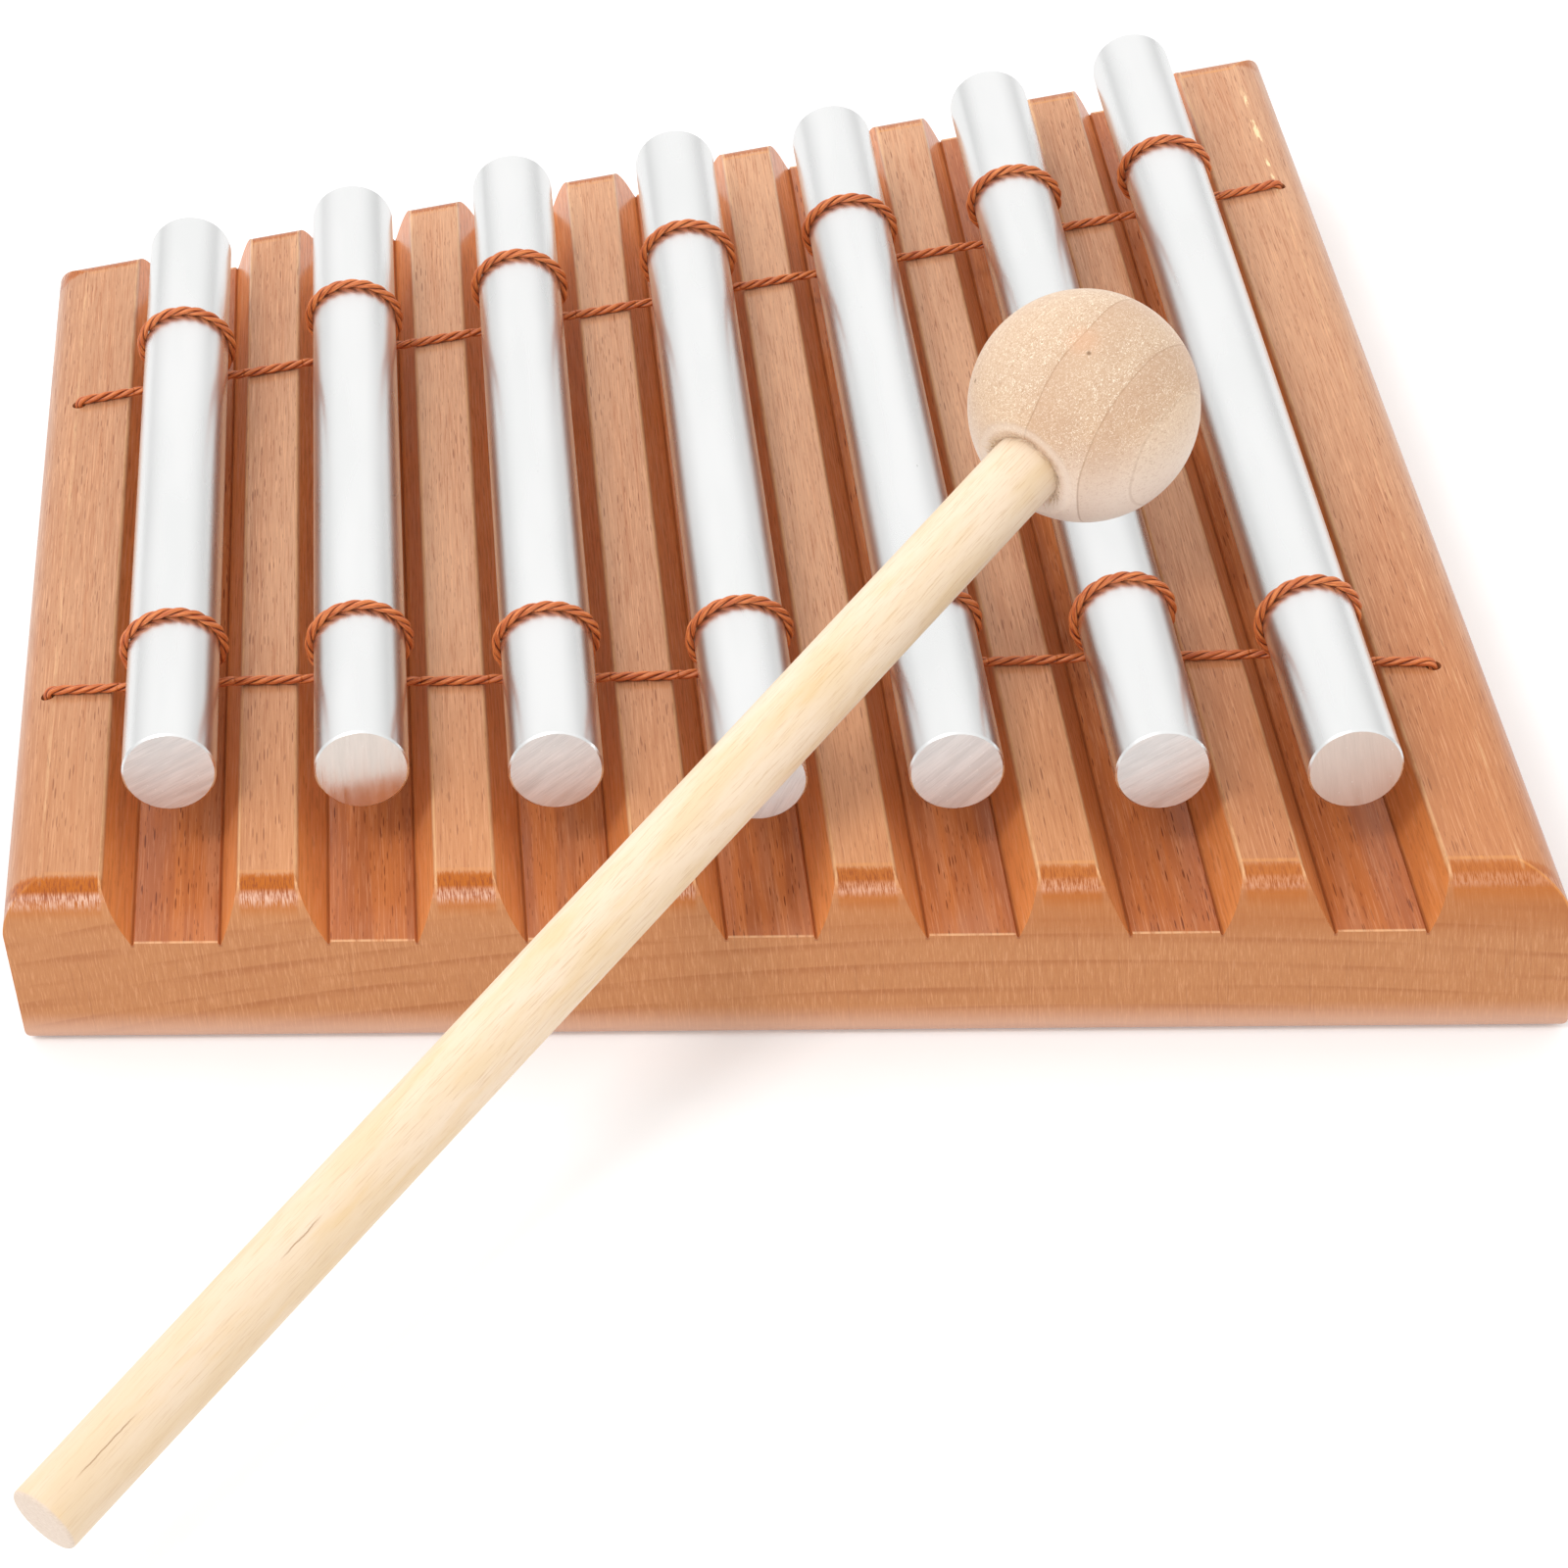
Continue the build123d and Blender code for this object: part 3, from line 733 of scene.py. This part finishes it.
def loop_points(side, index):
    """Route of one sling: in under the rod, once round it and out on the right."""
    rod, rod_radius = rod_section(index + 1)
    ring = rod_radius + LOOP_CLEARANCE + CORD_DIAMETER / 2
    turn = 2 * math.pi / LOOP_SIDES
    corner = ring / math.cos(turn / 2)
    left, right = groove_x(index) - SLING_HALF_WIDTH, groove_x(index) + SLING_HALF_WIDTH
    start = cord_y(side, left) + RUN_SHIFT[side][index]
    stop = cord_y(side, right) + RUN_SHIFT[side][index + 1]
    foot = (start + stop) / 2
    top = cord_y(side, rod.x) + LOOP_SHIFT[side][index]
    advance = math.copysign(LOOP_LEAN / LOOP_SIDES, stop - start)
    round_rod = []
    for number in range(LOOP_SIDES):
        swept = turn * (number + 0.5)
        rise = (1 - math.cos(swept)) / 2
        round_rod.append((rod.x + corner * math.sin(swept),
                          foot + (top - foot) * rise + advance * (number + 0.5 - LOOP_SIDES / 2),
                          rod.z - corner * math.cos(swept)))
    first, last = round_rod[0], round_rod[-1]

    def between(a, b, x):
        return a[1] + (b[1] - a[1]) * (x - a[0]) / (b[0] - a[0])

    enter, leave = (left, start, cord_height), (right, stop, cord_height)
    tuck_in = (2 * rod.x - first[0], between(enter, first, 2 * rod.x - first[0]), cord_height)
    tuck_out = (2 * rod.x - last[0], between(last, leave, 2 * rod.x - last[0]), cord_height)
    return [enter, tuck_in, *round_rod, tuck_out, leave]


def cord_route(side):
    """Control points of one cord, from its left knot to its right one."""
    left, right = middle(f"{side}_left_knot"), middle(f"{side}_right_knot")
    knot_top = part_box(f"{side}_left_knot")[1].z / MM
    inward = left.x + HOLE_BEND
    outward = right.x - HOLE_BEND
    route = [(left.x, left.y, knot_top - 0.9), (left.x, left.y, board_top / 2),
             (left.x, left.y, cord_height - HOLE_BEND), (left.x, left.y, cord_height),
             (inward, cord_y(side, inward) + RUN_SHIFT[side][0] / 2, cord_height)]
    for index in range(rod_count):
        route += loop_points(side, index)
    route += [(outward, cord_y(side, outward) + RUN_SHIFT[side][-1] / 2, cord_height),
              (right.x, right.y, cord_height),
              (right.x, right.y, cord_height - HOLE_BEND), (right.x, right.y, board_top / 2),
              (right.x, right.y, knot_top - 0.9)]
    return route


def smooth_line(points):
    """The quadratic spline of these control points, evenly spaced STEP apart."""
    curve = bpy.data.curves.new("route", "CURVE")
    curve.dimensions = "3D"
    curve.resolution_u = 32
    spline = curve.splines.new("NURBS")
    spline.points.add(len(points) - 1)
    for point, at in zip(spline.points, points):
        point.co = (*at, 1.0)
    spline.use_endpoint_u = True
    spline.order_u = 3
    holder = bpy.data.objects.new("route", curve)
    mesh = bpy.data.meshes.new_from_object(holder)
    dense = np.array([vertex.co for vertex in mesh.vertices], float)
    bpy.data.objects.remove(holder)
    bpy.data.curves.remove(curve)
    bpy.data.meshes.remove(mesh)
    lengths = np.linalg.norm(np.diff(dense, axis=0), axis=1)
    keep = np.concatenate([[True], lengths > 1e-9])
    dense = dense[keep]
    along = np.concatenate([[0], np.cumsum(np.linalg.norm(np.diff(dense, axis=0), axis=1))])
    even = np.linspace(0, along[-1], max(2, round(along[-1] / STEP)) + 1)
    return np.stack([np.interp(even, along, dense[:, axis]) for axis in range(3)], 1), even


def unit(vectors):
    return vectors / np.linalg.norm(vectors, axis=-1, keepdims=True)


def carried_normals(line):
    """Two normals of a line that turn with it and never spin."""
    tangent = unit(np.gradient(line, axis=0))
    normal = np.zeros_like(line)
    start = np.cross(tangent[0], (0.31, 0.91, 0.27))
    normal[0] = start / np.linalg.norm(start)
    for i in range(1, len(line)):
        flat = normal[i - 1] - tangent[i] * (normal[i - 1] @ tangent[i])
        normal[i] = flat / np.linalg.norm(flat)
    return normal, np.cross(tangent, normal)


def drift(random, along, spacing, margin):
    """Values from -1 to 1 along a cord, a new one drawn every spacing."""
    at = np.arange(0, along[-1] + margin, spacing)
    return np.interp(along, at, random.uniform(-1, 1, len(at)))


class Cord:
    """A laid cord along a line; its pieces are cut from it and meet exactly."""

    def __init__(self, line, along, seed):
        normal, other = carried_normals(line)
        random = np.random.default_rng(seed)
        self.strands = []
        for number in range(STRANDS):
            phase = -2 * math.pi * along / STRAND_LAY + 2 * math.pi * number / STRANDS
            phase = phase + STRAND_SLIP * drift(random, along, 4.5, 9)
            out = np.cos(phase)[:, None] * normal + np.sin(phase)[:, None] * other
            centre = line + STRAND_OFFSET * out
            heading = unit(np.gradient(centre, axis=0))
            up = unit(out - heading * np.sum(out * heading, axis=1, keepdims=True))
            across = np.cross(heading, up)
            thick = STRAND_RADIUS * (1 + STRAND_UNEVEN * drift(random, along, 1.7, 4))
            turn = np.linspace(0, 2 * math.pi, STRAND_SIDES, endpoint=False)
            ring = (centre[:, None, :]
                    + thick[:, None, None] * (np.cos(turn)[None, :, None] * up[:, None, :]
                                              + np.sin(turn)[None, :, None] * across[:, None, :]))
            lean = turn[None, :] - FIBRE_TURN * along[:, None]
            length = np.broadcast_to(along[:, None] / FIBRE_SCALE + number * 40, lean.shape)
            fibre = np.stack([length, FIBRE_SCALE * np.cos(lean) + number * 17,
                              FIBRE_SCALE * np.sin(lean)], 2)
            # how deep each point lies in the cord, used for the painted shade between strands
            depth = np.linalg.norm(ring - line[:, None, :], axis=2) / (CORD_DIAMETER / 2)
            self.strands.append((ring, fibre, depth))

    def flatten(self, first, last, centre, radius):
        """Press a stretch flat where it would sink into a rod along Y."""
        for ring, _, _ in self.strands:
            part = ring[first:last, :, ::2]
            from_axis = part - (centre.x, centre.z)
            far = np.linalg.norm(from_axis, axis=2, keepdims=True)
            ring[first:last, :, ::2] += from_axis / far * np.maximum(radius - far, 0)

    def piece(self, name, spans):
        """One object of the stretches between these pairs of line indices."""
        vertices, faces, fibres, depths = [], [], [], []
        for first, last in spans:
            for ring, fibre, depth in self.strands:
                base = len(vertices)
                rows = last - first + 1
                vertices += ring[first:last + 1].reshape(-1, 3).tolist()
                fibres.append(fibre[first:last + 1].reshape(-1, 3))
                depths.append(depth[first:last + 1].reshape(-1))
                for row in range(rows - 1):
                    for side in range(STRAND_SIDES):
                        a = base + row * STRAND_SIDES + side
                        b = base + row * STRAND_SIDES + (side + 1) % STRAND_SIDES
                        faces.append((a, b, b + STRAND_SIDES, a + STRAND_SIDES))
                faces.append(tuple(base + side for side in reversed(range(STRAND_SIDES))))
                top = base + (rows - 1) * STRAND_SIDES
                faces.append(tuple(top + side for side in range(STRAND_SIDES)))
        made = link_mesh(name, vertices, faces)
        put = made.data.attributes.new("fibre", "FLOAT_VECTOR", "POINT")
        put.data.foreach_set("vector", np.concatenate(fibres).astype(np.float32).ravel())
        put = made.data.attributes.new("depth", "FLOAT", "POINT")
        put.data.foreach_set("value", np.concatenate(depths).astype(np.float32))
        made.data.materials.append(finishes["waxed_cord"])
        return made


def crossing(line, x, first=0, last=None, final=False):
    """Index where the line passes x going right: the first such place, or the last."""
    part = line[first:last, 0]
    found = np.nonzero((part[:-1] < x) & (part[1:] >= x))[0] + first + 1
    return int(found[-1] if final else found[0])


def lace(side, seed):
    """One whole cord, cut where its stretches follow different bodies."""
    line, along = smooth_line(cord_route(side))
    cord = Cord(line, along, seed)
    still = []
    reached = 0
    for index in range(rod_count):
        number = index + 1
        rod, rod_radius = rod_section(number)
        enter = crossing(line, groove_x(index) - SLING_HALF_WIDTH)
        leave = crossing(line, groove_x(index) + SLING_HALF_WIDTH)
        under = crossing(line, rod.x - BLEND_END, enter, leave)
        away = crossing(line, rod.x + BLEND_END, enter, leave, final=True)
        cord.flatten(enter, leave, rod, rod_radius + 0.01)
        body = f"slings_{number}"
        still.append((reached, enter))
        reached = leave
        loop = cord.piece(f"{side}_loop_{number}", [(under, away)])
        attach(loop, body)
        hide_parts(f"{side}_cord_sling_{number}")
        lead_in = cord.piece(f"{side}_lead_in_{number}", [(enter, under)])
        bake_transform(lead_in)
        lead_out = cord.piece(f"{side}_lead_out_{number}", [(away, leave)])
        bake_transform(lead_out)
    still.append((reached, len(line) - 1))
    run = cord.piece(f"{side}_runs", still)
    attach(run, "base")
    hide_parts(f"{side}_cord_runs")


def tie_knot(side, end, seed):
    """A small overhand knot under the board, with a short tail."""
    low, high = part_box(f"{side}_{end}_knot")
    centre = (low + high) / 2 / MM
    reach = (high.x - low.x) / 2 / MM - CORD_DIAMETER / 2 + 0.25
    lift = (high.z - low.z) / 2 / MM - CORD_DIAMETER / 2 + 0.05
    points = [(0, 0, high.z / MM - centre.z + 0.8), (0.1, 0, high.z / MM - centre.z)]
    for number in range(KNOT_POINTS):
        t = math.radians(KNOT_START + KNOT_SWEEP * number / (KNOT_POINTS - 1))
        points.append((reach * (math.sin(t) + 2 * math.sin(2 * t)) / 3,
                       reach * (math.cos(t) - 2 * math.cos(2 * t)) / 3,
                       -lift * math.sin(3 * t)))
    points.append((reach * 0.3, -reach * 0.9, -lift - 0.1))
    turned = Matrix.Rotation(seed * 1.3, 4, "Z")
    route = [tuple(turned @ Vector(point) + centre) for point in points]
    line, along = smooth_line(route)
    made = Cord(line, along, seed).piece(f"{side}_{end}_tie", [(0, len(line) - 1)])
    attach(made, "base")
    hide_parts(f"{side}_{end}_knot")


# ------------------------------------------------------------------------------- mallet

ball_centre = middle("mallet_head")
mallet_turn = Euler((0, -math.radians(HANDLE_TILT), math.radians(HANDLE_HEADING)), "XYZ")
mallet_matrix = Matrix.Translation(ball_centre) @ mallet_turn.to_matrix().to_4x4()
ball_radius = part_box("mallet_head")[1].z / MM - ball_centre.z


def turned(name, profile, around, seed, slot):
    """A lathe-turned piece: (along, radius) pairs spun round local X, worn in a little."""
    vertices, faces = [], []
    rows = len(profile)
    for along, radius in profile:
        for step in range(around):
            angle = 2 * math.pi * step / around
            point = Vector((along, radius * math.cos(angle), radius * math.sin(angle)))
            dent = 0.5 + 0.5 * noise.noise(point / 7.0 + Vector((seed, 0, 0)))
            shrink = 1 - TURNED_WEAR * dent / max(point.length, radius, 1.0)
            local = Vector((along, point.y * shrink, point.z * shrink))
            vertices.append(mallet_matrix @ local)
    for row in range(rows - 1):
        for step in range(around):
            a = row * around + step
            b = row * around + (step + 1) % around
            faces.append((a, a + around, b + around, b))
    faces.append(tuple(range(around)))
    faces.append(tuple(reversed(range((rows - 1) * around, rows * around))))
    made = link_mesh(name, [tuple(v) for v in vertices], faces)
    made.data.materials.append(finishes[slot])
    made.visible_glossy = False
    return made


def mallet_ball():
    """The ball, with the drilled socket's rim eased round the handle."""
    bore = HANDLE_DIAMETER_HEAD / 2 - 0.12
    start = math.asin(SOCKET_RIM / ball_radius)
    profile = [(1.2, bore), (6.0, bore), (12.0, bore)]
    rim_x = ball_radius * math.cos(start)
    profile += [(rim_x - 0.35, bore + 0.02), (rim_x - 0.12, bore + 0.16),
                (rim_x + 0.04, bore + 0.50), (rim_x + 0.08, SOCKET_RIM - 1.4),
                (rim_x + 0.02, SOCKET_RIM - 0.7), (rim_x - 0.02, SOCKET_RIM - 0.35),
                (rim_x, SOCKET_RIM - 0.12)]
    rows = 96
    for row in range(rows + 1):
        angle = start + (math.pi - 0.004 - start) * row / rows
        profile.append((ball_radius * math.cos(angle), ball_radius * math.sin(angle)))
    made = turned("mallet_ball", profile, 160, 3.0, "ball_wood")
    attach(made, "mallet")
    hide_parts("mallet_head")


def mallet_stick():
    """The dowel, tapering a little towards its eased free end."""
    start = ball_radius - SOCKET_DEPTH
    profile = [(start, 4.3), (start + 0.4, HANDLE_DIAMETER_HEAD / 2 - 0.2)]
    rows = 150
    for row in range(rows + 1):
        share = row / rows
        along = start + 1 + (HANDLE_REACH - 0.9 - start - 1) * share
        radius = (HANDLE_DIAMETER_HEAD + (HANDLE_DIAMETER_END - HANDLE_DIAMETER_HEAD) * share) / 2
        profile.append((along, radius))
    last = HANDLE_DIAMETER_END / 2
    for turn in (15, 35, 55, 75, 90):
        angle = math.radians(turn)
        profile.append((HANDLE_REACH - 0.5 + 0.5 * math.sin(angle),
                        last - 0.5 + 0.5 * math.cos(angle)))
    profile += [(HANDLE_REACH, last * 0.6), (HANDLE_REACH, 0.3)]
    made = turned("mallet_stick", profile, 96, 11.0, "handle_wood")
    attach(made, "mallet")
    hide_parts("mallet_handle")


def joint_fuzz():
    """Short torn fibres where the drill left the socket's rim."""
    random = np.random.default_rng(5)
    vertices, faces = [], []
    for _ in range(FIBRES):
        angle = random.uniform(0, 2 * math.pi)
        out = Vector((0, math.cos(angle), math.sin(angle)))
        side = Vector((0, -math.sin(angle), math.cos(angle)))
        root_radius = HANDLE_DIAMETER_HEAD / 2 + random.uniform(0.05, 0.6)
        root = Vector((13.3 + random.uniform(-0.1, 0.2), 0, 0)) + out * root_radius
        lean = Vector((random.uniform(0.2, 1.0), 0, 0)) + out * random.uniform(-0.15, 0.9)
        lean += side * random.uniform(-1.3, 1.3)
        lean.normalize()
        length = random.uniform(0.5, 1.7)
        thick = random.uniform(0.035, 0.070)
        curl = out * random.uniform(-0.3, 0.3) + side * random.uniform(-0.3, 0.3)
        base = len(vertices)
        for level, share in enumerate((0.0, 0.5, 1.0)):
            centre = root + lean * length * share + curl * length * share * share
            for corner in range(3):
                spin = 2 * math.pi * corner / 3
                flat = out * math.cos(spin) + Vector((1, 0, 0)) * math.sin(spin)
                at = centre + flat * thick * (1 - 0.75 * share)
                vertices.append(tuple(mallet_matrix @ at))
        for level in range(2):
            for corner in range(3):
                a = base + level * 3 + corner
                b = base + level * 3 + (corner + 1) % 3
                faces.append((a, b, b + 3, a + 3))
        faces.append((base + 2, base + 1, base))
        faces.append((base + 6, base + 7, base + 8))
    made = link_mesh("mallet_fuzz", vertices, faces)
    made.data.materials.append(finishes["handle_wood"])
    made.visible_glossy = False
    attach(made, "mallet")


# ----------------------------------------------------------------------------- assembly

def paint(node, *materials):
    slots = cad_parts[node].data.materials
    slots.clear()
    for material in materials:
        slots.append(material)


studio()
paint("base_board", board_wood())
metal = rod_metal()
for number in range(1, rod_count + 1):
    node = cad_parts[f"chime_rod_{number}"]
    paint(node.name, metal, rod_end(number))
    for polygon in node.data.polygons:
        polygon.material_index = 1 if abs(polygon.normal.y) > 0.95 else 0
waxed_cord()
ball_wood()
handle_wood()
lace("back", 21)
lace("front", 22)
for seed, (side, end) in enumerate((s, e) for s in ("back", "front") for e in ("left", "right")):
    tie_knot(side, end, seed)
mallet_ball()
mallet_stick()
joint_fuzz()
